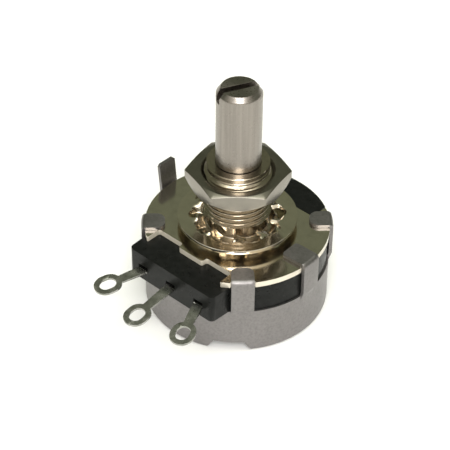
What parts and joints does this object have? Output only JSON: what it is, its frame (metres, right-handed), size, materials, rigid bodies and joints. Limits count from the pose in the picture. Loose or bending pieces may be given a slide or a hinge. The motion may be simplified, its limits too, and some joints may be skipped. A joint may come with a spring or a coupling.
{
  "type": "rotary potentiometer",
  "caption": "Panel-mount rotary potentiometer with a slotted round shaft, threaded bushing, hex nut, lock washer and fanned solder lugs.",
  "frame": {"origin": "centre of the mounting plate's front face, on the shaft axis", "axes": "+Z along the shaft towards its slotted tip, -Y towards the solder lugs, +X to the right of someone who looks at the shaft's tip with the lugs pointing down"},
  "size_m": [0.0263, 0.0334, 0.0338],
  "materials": {
    "shaft_nickel": "nickel plated, satin turned",
    "bushing_nickel": "nickel plated, bright turned",
    "nut_nickel": "nickel plated, satin",
    "washer_nickel": "nickel plated, bright",
    "plate_nickel": "nickel plated, mirror bright",
    "black_moulding": "phenolic moulding, semi-gloss",
    "satin_cover": "tin plated, satin matt",
    "tinned_lug": "dull tin",
    "rivet_brass": "plain brass",
    "laminate": "paper laminate",
    "carbon_film": "matt carbon",
    "silver_film": "silver film",
    "spring_bronze": "phosphor bronze",
    "dark_steel": "oiled spring steel"
  },
  "bodies": {
    "housing": {"bushing": "bushing_nickel", "lock_washer": "washer_nickel", "mounting_plate": "plate_nickel", "base_moulding": "black_moulding", "rear_cover": "satin_cover", "lug_left": "tinned_lug", "lug_centre": "tinned_lug", "lug_right": "tinned_lug", "rivet_left": "rivet_brass", "rivet_centre": "rivet_brass", "rivet_right": "rivet_brass", "track_board": "laminate", "carbon_track": "carbon_film", "collector_ring": "silver_film", "thrust_washer": "spring_bronze"},
    "rotor": {"shaft": "shaft_nickel", "rotor_disc": "black_moulding", "wiper_spring": "spring_bronze", "track_contact": "carbon_film", "collector_contact": "spring_bronze", "stop_arm": "washer_nickel", "retaining_clip": "dark_steel"},
    "nut": {"hex_nut": "nut_nickel"}
  },
  "joints": [
    {"name": "shaft_turn", "type": "hinge", "parent": "housing", "child": "rotor", "pos_m": [0, 0, 0], "axis": [0, 0, 1], "range_deg": [-150, 150]},
    {"name": "nut_travel", "type": "slide", "parent": "housing", "child": "nut", "axis": [0, 0, 1], "range_m": [-0.0046, 0.0024]}
  ]
}
